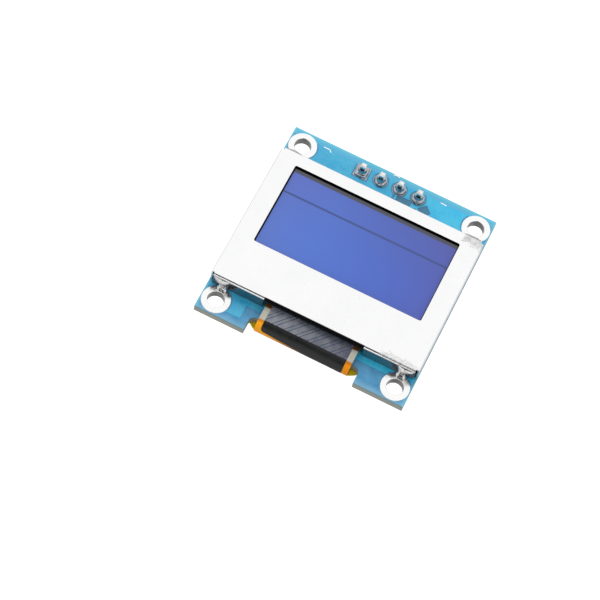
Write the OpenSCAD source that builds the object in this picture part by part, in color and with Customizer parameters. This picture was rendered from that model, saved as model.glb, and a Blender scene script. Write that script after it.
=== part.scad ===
// Small OLED display module: a blue carrier board with a folded tin shield over a glass panel,
// a flex tail wrapped round the board's edge, and a four-pin header soldered from behind.
// Millimetres. +Z is the way the display faces, +Y points to the header. The origin is the
// centre of the four mounting holes on the board's front face.

/* [Glass panel] */
// Width of the front glass
panel_w = 26.7; // [24:0.1:32]
// Depth of the front glass, ledge included
panel_d = 19.26; // [17:0.02:24]
// Thickness of the front glass
front_glass_t = 0.6; // [0.4:0.05:0.9]
// Thickness of the cap glass behind it
cap_glass_t = 0.6; // [0.4:0.05:0.9]
// Seal between the two glasses, which holds the emitting layer
seal_t = 0.05; // [0.04:0.01:0.1]
// Ledge of the front glass that the cap glass leaves free
ledge_d = 2.9; // [2.4:0.1:3.6]
// Thickness of the polariser
polarizer_t = 0.2; // [0.1:0.05:0.3]
// How far the polariser reaches past the window on each side
polarizer_margin = 0.9; // [0.5:0.1:1.2]
// Least distance of the polariser from the glass's top edge
polarizer_inset = 0.3; // [0.1:0.05:0.6]
// Width of the lit area
active_w = 21.74; // [19:0.02:24]
// Depth of the lit area
active_d = 10.86; // [9:0.02:12]
// Border between the glass's top edge and the lit area
active_border = 2.1; // [1.8:0.1:2.6]
// Depth of the status band at the top of the lit area
band_d = 2.72; // [2:0.02:3.4]
// Unlit line between the status band and the rest
band_gap = 0.2; // [0.1:0.05:0.4]
// Length of the driver chip
chip_l = 11.2; // [9:0.1:12]
// Width of the driver chip
chip_w = 0.9; // [0.7:0.05:1]
// Thickness of the driver chip
chip_t = 0.3; // [0.2:0.05:0.4]

// Thickness of the foam tape behind the cap glass
tape_t = 0.3; // [0.2:0.05:0.5]
// How far the tape stands in from the cap glass's edges
tape_inset = 0.6; // [0.3:0.1:1.5]

/* [Shield] */
// Thickness of the folded sheet
sheet_t = 0.2; // [0.15:0.05:0.3]
// Outside radius of the folds
fold_r = 0.36; // [0.32:0.02:0.5]
// Play between the glass and the shield's walls
panel_play = 0.05; // [0.05:0.01:0.15]
// Gap between the polariser and the shield's face
face_gap = 0.16; // [0.1:0.02:0.4]
// Square relief at each corner, where the folds meet
corner_relief = 0.42; // [0.36:0.02:0.6]
// Radius of the window's corners
window_r = 0.25; // [0.1:0.05:0.6]
// Window edge to lit area, at the top
reveal_top = 0.58; // [0.3:0.02:0.8]
// Window edge to lit area, at the bottom
reveal_bottom = 0.2; // [0.04:0.02:0.3]
// Window edge to lit area, at the sides
reveal_side = 0.16; // [0.05:0.01:0.3]
// Gap in the front wall beside the flex, on each side
flex_side_gap = 0.42; // [0.3:0.02:0.8]
// Radius of the wall's free corners beside the flex
wall_end_r = 0.3; // [0.1:0.05:0.5]

/* [Circuit board] */
// Thickness of the bare board
board_t = 1.2; // [0.8:0.1:1.6]
// Board left free at each side of the shield
side_band = 0.05; // [0.02:0.01:0.5]
// Board left free between the shield and the header edge
header_band = 4.33; // [4:0.01:6]
// Board left free between the shield and the flex edge
flex_band = 3.66; // [3.6:0.02:5]
// Height of copper and solder mask above the bare board
copper_t = 0.05; // [0.03:0.01:0.08]
// Bare edge round the copper at the board's sides
pour_inset = 0.3; // [0.2:0.05:0.6]
// Bare edge above the copper at the header edge
pour_border = 0.85; // [0.5:0.05:1]
// How far the copper reaches under the shield
under_shield = 1.2; // [0.8:0.1:2]
// Room that the copper leaves round rings, pads and neighbouring tracks
copper_gap = 0.16; // [0.12:0.02:0.25]
// Width of the signal traces
trace_w = 0.26; // [0.2:0.02:0.4]
// Copper track in front of the shield's wall
track_out = 0.78; // [0.6:0.02:1]
// Width of the copper patch beside the left ring at the flex edge
patch_w = 1.78; // [1:0.02:2]
// Bare edge below that patch
patch_border = 1; // [0.6:0.05:1.4]
// Depth of the notch that the flex passes through
notch_d = 2; // [1.8:0.05:2.2]
// Width of the notch beyond the flex on each side
notch_gap = 1.05; // [0.6:0.05:1.4]
// Radius of the notch's inner corners
notch_r = 0.7; // [0.4:0.05:0.9]

/* [Mounting holes] */
// Hole centre to the board's side edge
hole_inset_x = 1.9; // [1.8:0.05:2.2]
// Hole centre to the board's header edge
hole_inset_y = 2.05; // [1.9:0.05:2.1]
// Hole centre to the board's flex edge
hole_inset_flex = 1.9; // [1.9:0.05:2.1]
// Clear diameter of the plated hole
hole_d = 2.1; // [1.8:0.1:2.4]
// Outside diameter of the ring round the hole
ring_d = 3.6; // [3.2:0.1:3.7]
// Thickness of the plating in the hole
plating_t = 0.05; // [0.04:0.01:0.1]
// Bevel at the ring's rims
ring_rim = 0.03; // [0.01:0.005:0.03]

/* [Header] */
// Number of pins
pin_count = 4; // [2:1:5]
// Distance between pins
pin_pitch = 2.54; // [2:0.01:2.6]
// Side of the square pins
pin_side = 0.64; // [0.5:0.02:0.7]
// Row of pins to the board's header edge
pin_inset = 1.75; // [1.5:0.05:1.8]
// Pin tip above the board's front face
pin_front = 1.82; // [1.3:0.02:2.6]
// Free length of the pins below the housing
pin_back = 6; // [4:0.1:9]
// Chamfer at the pin tips
pin_chamfer = 0.16; // [0.1:0.02:0.22]
// Width and height of the plastic housing
housing_side = 2.54; // [2:0.02:2.6]
// Chamfer at the housing's corners
housing_chamfer = 0.5; // [0.3:0.05:0.6]
// Diameter of the pads round the pins
pad_d = 1.8; // [1.5:0.05:1.85]
// Diameter of the holes for the pins
pin_hole_d = 1; // [1:0.02:1.1]
// Height of the solder cones
cone_h = 1; // [0.7:0.05:1.1]
// Radius of a cone at its top
cone_top_r = 0.5; // [0.46:0.01:0.56]
// Height of the round shoulder at a cone's foot
shoulder_h = 0.44; // [0.3:0.02:0.55]

/* [Flex tail] */
// Width of the neck
flex_w = 12.2; // [10:0.1:13]
// Thickness of the flex
flex_t = 0.12; // [0.08:0.01:0.16]
// Width of the head on the back of the board
flex_head_w = 19; // [16:0.1:22]
// Head of the flex beyond its outermost contacts, about this on each side
head_margin = 0.34; // [0.2:0.02:0.8]
// Length of the slanted shoulders between neck and head
flex_shoulder = 2.8; // [2:0.1:3.2]
// Where the shoulders start, from the bend's outermost line
shoulder_start = 0.3; // [0.2:0.05:0.8]
// How far the bend stands in from the board's edge
bend_inset = 0.6; // [0.5:0.05:1]
// Length of the flat run on the back, from the bend to the end
flex_tail = 6.1; // [5.4:0.1:6.6]
// Bond of the flex to the ledge of the front glass
flex_bond = 0.9; // [0.6:0.05:1]
// Distance between contacts
contact_pitch = 0.62; // [0.5:0.01:0.7]
// Width of a contact
contact_w = 0.34; // [0.28:0.02:0.4]
// Length of a contact
contact_l = 1.9; // [1.4:0.1:2.2]
// Thickness of the ink over the bend
ink_t = 0.03; // [0.02:0.01:0.05]
// Margin of the flex left free beside the ink
ink_margin = 0.75; // [0.5:0.05:1.2]
// Angle of the bend that the ink covers at its middle
ink_angle = 88; // [60:1:100]
// Slant of the ink's lower edge, in degrees
ink_slant = 4.2; // [0:0.1:6]
// Radius of the ink's lower corners
ink_r = 0.45; // [0.3:0.05:0.9]
// Number of traces in the fan under the shield's lip, wide and narrow ones by turns
trace_count = 14; // [10:1:18]
// Share of the wide trace in the copper of such a pair
wide_share = 0.69; // [0.5:0.01:0.8]
// Thickness of the traces with their cover film
trace_t = 0.02; // [0.02:0.01:0.04]
// Gap between neighbouring traces
trace_gap = 0.12; // [0.1:0.01:0.2]
// Slant of the traces from the board's X axis, in degrees
trace_angle = 49; // [40:1:65]
// How far the solder runs past the flex's end onto the board
contact_out = 0.6; // [0.4:0.05:0.9]
// Height of the solder on the contacts
contact_lift = 0.05; // [0.03:0.01:0.08]

/* [Solder at the shield's corners] */
// How far its foot runs out from the wall towards a ring at the header edge
foot_reach_top = 0.8; // [0.6:0.05:1]
// How far its foot runs out from the wall onto a ring at the flex edge
foot_reach_bottom = 0.64; // [0.3:0.02:0.68]
// Width of its foot
foot_w = 1.3; // [0.9:0.05:1.6]
// How far its bulb stands out from the wall
bulb_reach = 0.42; // [0.3:0.02:0.6]
// Width of its bulb, up the wall
bulb_w = 2.1; // [1.4:0.05:2.3]
// How far its waist, above the foot, stands out
waist_reach = 0.34; // [0.2:0.02:0.4]
// Width of its waist
waist_w = 1; // [0.7:0.05:1.2]
// How far its bulb leans beside the hole, towards the board's side edge
solder_offset = 0.3; // [0:0.05:0.35]

/* [Parts on the back] */
// Step between the columns of parts
column_step = 2.6; // [2.4:0.1:2.8]
// Step between the rows of parts
row_step = 3.3; // [3:0.1:3.4]
// First row of parts below the housing
first_row_gap = 2.4; // [2.2:0.1:2.8]
// Last row of parts beyond the flex's end
last_row_gap = 2.9; // [2.6:0.1:3.4]
// Length of a chip capacitor or resistor
chip_part_l = 1.6; // [1.4:0.05:1.7]
// Width of a chip capacitor or resistor
chip_part_w = 0.8; // [0.7:0.05:0.9]
// Height of a chip capacitor
capacitor_h = 0.8; // [0.6:0.05:0.9]
// Height of a chip resistor
resistor_h = 0.45; // [0.35:0.05:0.55]
// Length of the metal ends
end_cap_l = 0.35; // [0.25:0.05:0.45]
// Thickness of the solder under a part
solder_t = 0.05; // [0.03:0.01:0.08]
// Length of the regulator's body
regulator_l = 2.9; // [2.7:0.05:3.1]
// Width of the regulator's body
regulator_w = 1.3; // [1.2:0.05:1.5]
// Height of the regulator's body
regulator_h = 1; // [0.9:0.05:1.2]
// Length of the diode's body
diode_l = 1.7; // [1.6:0.05:1.9]
// Width of the diode's body
diode_w = 1.25; // [1.1:0.05:1.4]
// Height of the diode's body
diode_h = 0.9; // [0.8:0.05:1.1]
// Length of each of the diode's tabs
tab_l = 0.35; // [0.25:0.05:0.5]
// Width of the regulator's leads
lead_w = 0.4; // [0.3:0.05:0.5]
// Thickness of the regulator's leads
lead_t = 0.13; // [0.1:0.01:0.18]
// How far the regulator's leads stand out from its body
lead_out = 0.55; // [0.45:0.05:0.7]
// Distance between the regulator's leads
lead_pitch = 0.95; // [0.9:0.05:1]
// Slope of the regulator's sides, from its parting line to its top and bottom
mould_draft = 0.09; // [0.05:0.01:0.15]
// Air under the regulator's body
body_lift = 0.08; // [0.05:0.01:0.12]
// How far a pad reaches past its part's end
pad_reach = 0.45; // [0.3:0.05:0.5]

/* [Hidden] */
$fn = 48;
EPS = 0.01;

RING_NAMES = [for (i = [1 : 4]) str("mounting_ring_", i)];
BLOB_NAMES = [for (i = [1 : 4]) str("shield_solder_", i)];
PIN_NAMES = [for (i = [1 : pin_count]) str("header_pin_", i)];
JOINT_NAMES = [for (i = [1 : pin_count]) str("header_solder_", i)];
CAPACITOR_NAMES = [for (i = [1 : 7]) str("capacitor_", i)];
RESISTOR_NAMES = [for (i = [1 : 7]) str("resistor_", i)];

// Shield and board sizes, worked out from the panel
shield_w = panel_w + 2 * (panel_play + sheet_t);
shield_d = panel_d + 2 * (panel_play + sheet_t);
board_w = shield_w + 2 * side_band;
board_d = shield_d + header_band + flex_band;
hole_x = board_w / 2 - hole_inset_x;
hole_y = (board_d - hole_inset_y - hole_inset_flex) / 2;
board_top = hole_y + hole_inset_y;
board_bottom = board_top - board_d;
shield_bottom = board_bottom + flex_band;
shield_top = shield_bottom + shield_d;
shield_y = (shield_bottom + shield_top) / 2;
panel_bottom = shield_bottom + sheet_t + panel_play;
panel_top = panel_bottom + panel_d;

// Heights of the stack above the board's front face
tape_z = copper_t;
cap_z = tape_z + tape_t;
seal_z = cap_z + cap_glass_t;
glass_z = seal_z + seal_t;
polarizer_z = glass_z + front_glass_t;
shield_z = polarizer_z + polarizer_t + face_gap + sheet_t;
back_z = -board_t - copper_t;

// Lit area and the window round it
active_top = panel_top - active_border;
active_bottom = active_top - active_d;
window_w = active_w + 2 * reveal_side;
window_top = active_top + reveal_top;
window_bottom = active_bottom - reveal_bottom;
window_d = window_top - window_bottom;
window_y = (window_top + window_bottom) / 2;
cap_bottom = panel_bottom + ledge_d;

// Mounting holes and header
HOLE_PLACES = [[-hole_x, hole_y], [hole_x, hole_y], [-hole_x, -hole_y], [hole_x, -hole_y]];
pin_y = board_top - pin_inset;
function pin_x(i) = (i - (pin_count + 1) / 2) * pin_pitch;
housing_z = back_z - housing_side;

// Bend of the flex: its outside runs from the glass's underside to the board's back
flex_back_z = back_z - flex_t;
bend_r = (glass_z - flex_back_z) / 2;
bend_z = (glass_z + flex_back_z) / 2;
bend_y = board_bottom + bend_inset + bend_r;
// As many contacts as the head's width takes
contact_count = 1 + round((flex_head_w - 2 * head_margin - contact_w) / contact_pitch);
flex_end = bend_y + flex_tail;
shoulder_y = bend_y - bend_r + shoulder_start;
notch_w = flex_w + 2 * notch_gap;
notch_top = board_bottom + notch_d;
trace_top = panel_bottom - panel_play;

// Parts on the back: [side of the board or 0 for its middle, columns from there, row, turned]
first_row = pin_y - housing_side / 2 - first_row_gap;
last_row = flex_end + last_row_gap;
function place_x(place) = place[0] * board_w / 2 + place[1] * column_step;
function place_y(place) = place[2] == "last" ? last_row : first_row - place[2] * row_step;
CAPACITORS = [[-1, 2.85, 0.1, true], [-1, 2.85, 1.2, true],
    [0, -3, "last", true], [0, -1.5, "last", true], [0, 0, "last", true], [0, 1.5, "last", true],
    [0, 3, "last", true]];
RESISTORS = [[0, 0.3, 0, true], [0, 1.2, 0, true], [0, 2.1, 0, true], [1, -2.25, 0.9, false],
    [0, -0.6, 1.2, false], [0, 0.9, 1.4, false], [0, -0.1, 2.1, false]];
REGULATOR = [-1, 1.55, 0.9, false];
DIODE = [1, -2.35, 2, false];
part_z = copper_t + solder_t;

// A rectangle with its top corners rounded, standing on the axis
module arch_2d(w, h, r) {
    translate([-w / 2, 0]) square([w, h - r]);
    translate([-w / 2 + r, 0]) square([w - 2 * r, h]);
    for (s = [-1, 1]) translate([s * (w / 2 - r), h - r]) circle(r);
}

// A rectangle round a centre, with all corners rounded
module rounded_2d(w, d, r) {
    square([w - 2 * r, d], center = true);
    square([w, d - 2 * r], center = true);
    for (sx = [-1, 1], sy = [-1, 1]) translate([sx * (w / 2 - r), sy * (d / 2 - r)]) circle(r);
}

// Folded channel: a face with a wall down each side, as a section
module channel_2d(w) {
    difference() {
        arch_2d(w, shield_z - copper_t, fold_r);
        translate([0, -EPS]) arch_2d(w - 2 * sheet_t, shield_z - copper_t - sheet_t + EPS, fold_r - sheet_t);
    }
}

// Extrudes a Y-Z section along X, centred
module along_x(length) {
    translate([-length / 2, 0, 0]) rotate([90, 0, 90]) linear_extrude(length) children();
}

// Extrudes an X-Z section along Y, centred on the shield
module along_y(length) {
    translate([0, shield_y + length / 2, 0]) rotate([90, 0, 0]) linear_extrude(length) children();
}

// Puts a part that is drawn standing on the board onto its back face
module on_back(place) {
    translate([place_x(place), place_y(place), -board_t]) rotate([180, 0, place[3] ? 90 : 0]) children();
}

/* Board */
module notch_2d() {
    translate([-notch_w / 2, board_bottom - EPS]) square([notch_w, notch_d + EPS - notch_r]);
    translate([-notch_w / 2 + notch_r, board_bottom - EPS]) square([notch_w - 2 * notch_r, notch_d + EPS]);
    for (s = [-1, 1]) translate([s * (notch_w / 2 - notch_r), notch_top - notch_r]) circle(notch_r);
}

module circuit_board() {
    color("dodgerblue") translate([0, 0, -board_t]) linear_extrude(board_t) difference() {
        translate([-board_w / 2, board_bottom]) square([board_w, board_d]);
        notch_2d();
        for (p = HOLE_PLACES) translate(p) circle(hole_d / 2 + plating_t);
        for (i = [1 : pin_count]) translate([pin_x(i), pin_y]) circle(pin_hole_d / 2);
    }
}

// Room that the masked copper leaves round rings, pads and the bare patch between two signals
module copper_keepout_2d() {
    for (p = HOLE_PLACES) translate(p) circle(ring_d / 2 + copper_gap);
    for (i = [1 : pin_count]) translate([pin_x(i), pin_y])
        if (i == 1) square(pad_d + 2 * copper_gap, center = true); else circle(pad_d / 2 + copper_gap);
}

// Bare field below the last two pins, which their traces cross
module signal_keepout_2d() {
    low = shield_top - under_shield / 2;
    high = pin_y - pad_d / 2 + copper_gap;
    translate([pin_x(pin_count - 1) - pad_d / 4, low]) square([pin_pitch, high - low]);
    translate([pin_x(pin_count), shield_top]) rotate(-45)
        square([pin_pitch / 2, 2 * pin_pitch], center = true);
}

module front_pour_2d() {
    margin = pour_inset;
    low = shield_top - under_shield;
    difference() {
        translate([-board_w / 2 + margin, low])
            square([board_w - 2 * margin, board_top - pour_border - low]);
        copper_keepout_2d();
        signal_keepout_2d();
    }
}

// Track along the front wall with a round end by the flex, and the patch beside the left ring
module front_track_2d(side) {
    track_end = flex_w / 2 - copper_gap;
    track_low = shield_bottom - track_out;
    track_h = track_out + 2 * sheet_t;
    outer = board_w / 2 - pour_inset;
    patch_low = board_bottom + patch_border;
    difference() {
        union() {
            translate([side > 0 ? track_end : -outer, track_low]) square([outer - track_end, track_h]);
            translate([side * track_end, track_low + track_h / 2]) circle(track_h / 2);
            if (side < 0) translate([-hole_x, patch_low])
                square([ring_d / 2 + patch_w, track_low - patch_low + EPS]);
        }
        copper_keepout_2d();
    }
}

// Traces of the last two pins: one straight down from its pad, one slanted to the side
module signal_traces_2d() {
    run = pin_y - pad_d / 2 - shield_top;
    difference() {
        translate([pin_x(pin_count - 1) - trace_w / 2, shield_top - under_shield / 2])
            square([trace_w, run + (under_shield + pad_d) / 2]);
        translate([pin_x(pin_count - 1), pin_y]) circle(pad_d / 2);
    }
    translate([pin_x(pin_count) + 0.6 * run, shield_top + 0.36 * run]) rotate(-45)
        square([1.25 * run, trace_w], center = true);
}

module front_copper() {
    color("deepskyblue") linear_extrude(copper_t) {
        front_pour_2d();
        for (side = [-1, 1]) front_track_2d(side);
        signal_traces_2d();
    }
}

// Footprint of every pad on the back, grown by the mask's clearance
module back_keepout_2d() {
    chip_l = chip_part_l + 2 * (pad_reach + copper_gap);
    chip_w = chip_part_w + 2 * copper_gap;
    for (p = concat(CAPACITORS, RESISTORS)) translate([place_x(p), place_y(p)])
        square(p[3] ? [chip_w, chip_l] : [chip_l, chip_w], center = true);
    regulator_d = regulator_w + 2 * (lead_out + pad_reach + copper_gap);
    translate([place_x(REGULATOR), place_y(REGULATOR)])
        square([regulator_l + 2 * copper_gap, regulator_d], center = true);
    translate([place_x(DIODE), place_y(DIODE)])
        square([diode_l + 2 * (pad_reach + tab_l + copper_gap), diode_w + 2 * copper_gap], center = true);
}

module back_copper() {
    margin = pour_inset;
    low = notch_top + margin;
    pour_d = board_top - margin - low;
    color("deepskyblue") translate([0, 0, back_z]) linear_extrude(copper_t) difference() {
        translate([-board_w / 2 + margin, low]) square([board_w - 2 * margin, pour_d]);
        copper_keepout_2d();
        back_keepout_2d();
        translate([-flex_head_w / 2, flex_end - copper_gap])
            square([flex_head_w, contact_out + 2 * copper_gap]);
        // Two gaps that part the ground from the supply
        for (x = [-0.75, 2.2]) translate([x * column_step, flex_end + contact_out + 2 * copper_gap])
            square([copper_gap, first_row - row_step - flex_end]);
    }
}

// Plated hole: barrel with a ring on each face, tapered at its rim
module mounting_ring(place) {
    r = hole_d / 2;
    color("gainsboro") translate(place) rotate_extrude() polygon([
        [r, back_z + ring_rim], [r + ring_rim, back_z], [ring_d / 2 - ring_rim, back_z],
        [ring_d / 2, back_z + ring_rim],
        [ring_d / 2, -board_t], [r + plating_t, -board_t], [r + plating_t, 0], [ring_d / 2, 0],
        [ring_d / 2, copper_t - ring_rim], [ring_d / 2 - ring_rim, copper_t], [r + ring_rim, copper_t],
        [r, copper_t - ring_rim]]);
}

/* Header */
// Row of eight-sided blocks, one round each pin, in one piece
module housing_2d() {
    half = housing_side / 2;
    c = housing_chamfer;
    square([pin_count * pin_pitch, housing_side - 2 * c], center = true);
    for (i = [1 : pin_count]) translate([pin_x(i), 0])
        polygon([[-pin_pitch / 2, c - half], [c - pin_pitch / 2, -half], [pin_pitch / 2 - c, -half],
            [pin_pitch / 2, c - half], [pin_pitch / 2, half - c], [pin_pitch / 2 - c, half],
            [c - pin_pitch / 2, half], [-pin_pitch / 2, half - c]]);
}

module header_housing() {
    color("#202020") translate([0, pin_y, housing_z]) difference() {
        linear_extrude(housing_side) housing_2d();
        for (i = [1 : pin_count]) translate([pin_x(i), 0, housing_side / 2])
            cube([pin_side, pin_side, housing_side + 2 * EPS], center = true);
    }
}

module pin_tip(sign) {
    half = pin_side / 2;
    small = half - pin_chamfer;
    low = sign > 0 ? 0 : -pin_chamfer;
    polyhedron(
        [for (level = [0, 1], k = [0 : 3]) let (r = (level == 0) == (sign > 0) ? half : small)
            [r * (k == 0 || k == 3 ? -1 : 1), r * (k < 2 ? -1 : 1), low + level * pin_chamfer]],
        [[0, 1, 2, 3], [7, 6, 5, 4], [0, 4, 5, 1], [1, 5, 6, 2], [2, 6, 7, 3], [3, 7, 4, 0]]);
}

module header_pin(i) {
    low = housing_z - pin_back + pin_chamfer;
    high = pin_front - pin_chamfer;
    color("silver") translate([pin_x(i), pin_y, 0]) {
        translate([-pin_side / 2, -pin_side / 2, low]) cube([pin_side, pin_side, high - low]);
        translate([0, 0, high]) pin_tip(1);
        translate([0, 0, low]) pin_tip(-1);
    }
}

// Soldered joint: plug in the plated hole, a pad on each face, and a round shoulder that rises in
// a hollow slope up the pin
module header_solder(i) {
    base_r = 0.95 * pad_d / 2;
    neck_r = cone_top_r + 0.3 * (base_r - cone_top_r);
    steps = 6;
    shoulder = [for (k = [0 : steps]) let (a = 90 * k / steps)
        [neck_r + (base_r - neck_r) * cos(a), copper_t + shoulder_h * sin(a)]];
    slope = [for (k = [1 : steps]) let (t = k / steps)
        [cone_top_r + (neck_r - cone_top_r) * pow(1 - t, 2),
        copper_t + shoulder_h + (cone_h - shoulder_h) * t]];
    color("silver") translate([pin_x(i), pin_y, 0]) difference() {
        union() {
            translate([0, 0, -board_t]) cylinder(h = board_t, r = pin_hole_d / 2);
            for (z = [0, back_z]) translate([0, 0, z]) linear_extrude(copper_t)
                if (i == 1) square(pad_d, center = true); else circle(pad_d / 2);
            rotate_extrude() polygon(concat([[0, copper_t]], shoulder, slope, [[0, copper_t + cone_h]]));
        }
        translate([0, 0, -board_t / 2]) cube([pin_side, pin_side, 4 * board_t], center = true);
    }
}

/* Glass panel */
module slab(w, low, high, z, t) {
    translate([-w / 2, low, z]) cube([w, high - low, t]);
}

module foam_tape() {
    color("#303030")
        slab(panel_w - 2 * tape_inset, cap_bottom + tape_inset, panel_top - tape_inset, tape_z, tape_t);
}

module cap_glass() {
    color("lightsteelblue") slab(panel_w, cap_bottom, panel_top, cap_z, cap_glass_t);
}

// Two lit fields with the unlit line between them, inside the seal
module emitting_layer() {
    color("slateblue") {
        slab(active_w, active_bottom, active_top - band_d - band_gap, seal_z, seal_t);
        slab(active_w, active_top - band_d, active_top, seal_z, seal_t);
    }
}

module front_glass() {
    color("lightsteelblue") slab(panel_w, panel_bottom, panel_top, glass_z, front_glass_t);
}

module polarizer() {
    color("midnightblue") slab(window_w + 2 * polarizer_margin, window_bottom - polarizer_margin,
        min(window_top + polarizer_margin, panel_top - polarizer_inset), polarizer_z, polarizer_t);
}

module driver_chip() {
    chip_y = (panel_bottom + flex_bond + cap_bottom) / 2;
    color("dimgray") slab(chip_l, chip_y - chip_w / 2, chip_y + chip_w / 2, glass_z - chip_t, chip_t);
}

/* Shield */
module shield_frame() {
    opening = flex_w + 2 * flex_side_gap;
    color("whitesmoke") difference() {
        translate([0, 0, copper_t]) union() {
            along_y(shield_d - 2 * corner_relief) channel_2d(shield_w);
            along_x(shield_w - 2 * corner_relief) translate([shield_y, 0]) channel_2d(shield_d);
        }
        translate([0, window_y, shield_z - sheet_t - EPS]) linear_extrude(sheet_t + 2 * EPS)
            rounded_2d(window_w, window_d, window_r);
        translate([0, shield_bottom + fold_r + EPS, copper_t - EPS]) rotate([90, 0, 0])
            linear_extrude(fold_r + 2 * EPS) union() {
                arch_2d(opening, shield_z - copper_t - fold_r + EPS, wall_end_r);
                translate([-opening / 2, 0]) square([opening, wall_end_r]);
            }
    }
}

// From one value to another in an S-shaped course, as t goes from 0 to 1
function ease(from, to, t) = from + (to - from) * (1 - cos(180 * max(0, min(1, t)))) / 2;

// Solder drawn from a ring up the shield's wall: a foot, a waist and a bulb that leans to the side.
// Level rings of points, each a straight back on the wall and a round front, are joined into one body.
// side_x and side_y give the corner, reach is how far its foot runs out on the ring.
module shield_solder(side_x, side_y, reach) {
    wall_y = side_y > 0 ? shield_top : shield_bottom;
    h = shield_z - copper_t - fold_r / 2;
    levels = 10;
    sides = 12;
    // Shares of the height at which the waist and the bulb's fullest place lie
    waist = 0.38;
    bulb = 0.7;
    function half_w(t) = (t < waist ? ease(foot_w, waist_w, t / waist)
        : ease(waist_w, bulb_w, (t - waist) / (1 - waist))) / 2;
    // Above its fullest place the bulb rounds off to a thin top edge
    function out(t) = t < waist ? ease(reach, waist_reach, t / waist)
        : ease(waist_reach, bulb_reach, (t - waist) / (bulb - waist))
            * cos(85 * max(0, (t - bulb) / (1 - bulb)));
    ring = [for (k = [0 : sides]) 180 * k / sides];
    points = [for (level = [0 : levels], a = ring) let (t = level / levels)
        [side_x * ease(0, solder_offset, (t - waist) / (1 - waist)) + half_w(t) * cos(a),
        side_y * out(t) * sin(a), h * t]];
    n = sides + 1;
    turn = side_y > 0 ? 1 : -1;
    function facing(face) = turn > 0 ? face : [for (k = [len(face) - 1 : -1 : 0]) face[k]];
    color("silver") translate([side_x * hole_x, wall_y, copper_t]) polyhedron(points, concat(
        [facing([for (k = [0 : n - 1]) k])],
        [facing([for (k = [n - 1 : -1 : 0]) levels * n + k])],
        [for (level = [0 : levels - 1], k = [0 : n - 1]) let (a = level * n + k, b = level * n + (k + 1) % n)
            each [facing([a, a + n, b]), facing([b, a + n, b + n])]]));
}

/* Flex tail */
// Section of the bend between two angles, counted from the top towards the board's edge
module arc_2d(r_in, r_out, from_a, to_a) {
    far = 2 * r_out;
    function ray(a) = [-far * sin(a), far * cos(a)];
    translate([bend_y, bend_z]) intersection() {
        difference() {
            circle(r_out, $fn = 96);
            circle(r_in, $fn = 96);
        }
        polygon([[0, 0], ray(from_a), ray((from_a + to_a) / 2), ray(to_a)]);
    }
}

module flex_tail() {
    color("orange") {
        along_x(flex_w) {
            translate([bend_y - EPS, glass_z - flex_t])
                square([panel_bottom + flex_bond - bend_y + EPS, flex_t]);
            arc_2d(bend_r - flex_t, bend_r, 0, 90);
        }
        intersection() {
            along_x(flex_head_w) {
                arc_2d(bend_r - flex_t, bend_r, 90, 180);
                translate([bend_y - EPS, flex_back_z]) square([flex_tail + EPS, flex_t]);
            }
            translate([0, 0, flex_back_z - 1]) linear_extrude(bend_r + 2) polygon([
                [-flex_w / 2, bend_y - bend_r - 1], [flex_w / 2, bend_y - bend_r - 1],
                [flex_w / 2, shoulder_y],
                [flex_head_w / 2, shoulder_y + flex_shoulder], [flex_head_w / 2, flex_end + 1],
                [-flex_head_w / 2, flex_end + 1], [-flex_head_w / 2, shoulder_y + flex_shoulder],
                [-flex_w / 2, shoulder_y]]);
        }
    }
}

// Front view of the ink: its lower edge slants, and an arc rounds each lower corner
module ink_2d(w, low) {
    function corner_z(x) = low - x * tan(ink_slant) + ink_r / cos(ink_slant);
    function corner(x, from, to) = [for (k = [0 : 6]) let (a = from + (to - from) * k / 6)
        [x + ink_r * cos(a), corner_z(x) + ink_r * sin(a)]];
    down = 270 - ink_slant;
    top = glass_z + 1;
    polygon(concat([[-w / 2, top]], corner(ink_r - w / 2, 180, down), corner(w / 2 - ink_r, down, 360),
        [[w / 2, top]]));
}

module flex_ink() {
    ink_w = flex_w - 2 * ink_margin;
    color("#202020") intersection() {
        along_x(ink_w) arc_2d(bend_r, bend_r + ink_t, 0, ink_angle + 50);
        translate([0, bend_y + bend_r, 0]) rotate([90, 0, 0]) linear_extrude(3 * bend_r)
            ink_2d(ink_w, bend_z + bend_r * cos(ink_angle));
    }
}

// Fan of slanted traces between the shield's lip and the ink, in pairs of a wide and a narrow one
module flex_traces() {
    fan_w = flex_w - 2 * ink_margin;
    fan_d = trace_top - bend_y;
    pair = 2 * fan_w / trace_count;
    copper_w = pair - 2 * trace_gap;
    run = fan_d / tan(trace_angle);
    module trace(x, w) {
        translate([x, bend_y]) polygon([[0, 0], [w, 0], [w + run, fan_d], [run, fan_d]]);
    }
    color("gray") translate([0, 0, glass_z]) linear_extrude(trace_t) intersection() {
        translate([-fan_w / 2, bend_y]) square([fan_w, fan_d]);
        for (k = [-ceil(run / pair) : ceil(trace_count / 2) - 1]) {
            trace(k * pair - fan_w / 2, wide_share * copper_w);
            trace(k * pair - fan_w / 2 + wide_share * copper_w + trace_gap, (1 - wide_share) * copper_w);
        }
    }
}

// Row of contacts on the flex's end, each with its solder running down onto a pad of the board
module flex_solder() {
    start = flex_end - contact_l;
    low = flex_back_z - contact_lift;
    color("silver") for (i = [1 : contact_count])
        translate([(i - (contact_count + 1) / 2) * contact_pitch, 0, 0]) along_x(contact_w) polygon([
            [start, flex_back_z], [start + 2 * contact_lift, low], [flex_end + contact_lift, low],
            [flex_end + contact_out, back_z - solder_t / 2], [flex_end + contact_out, -board_t],
            [flex_end, -board_t], [flex_end, flex_back_z]]);
}

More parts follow.
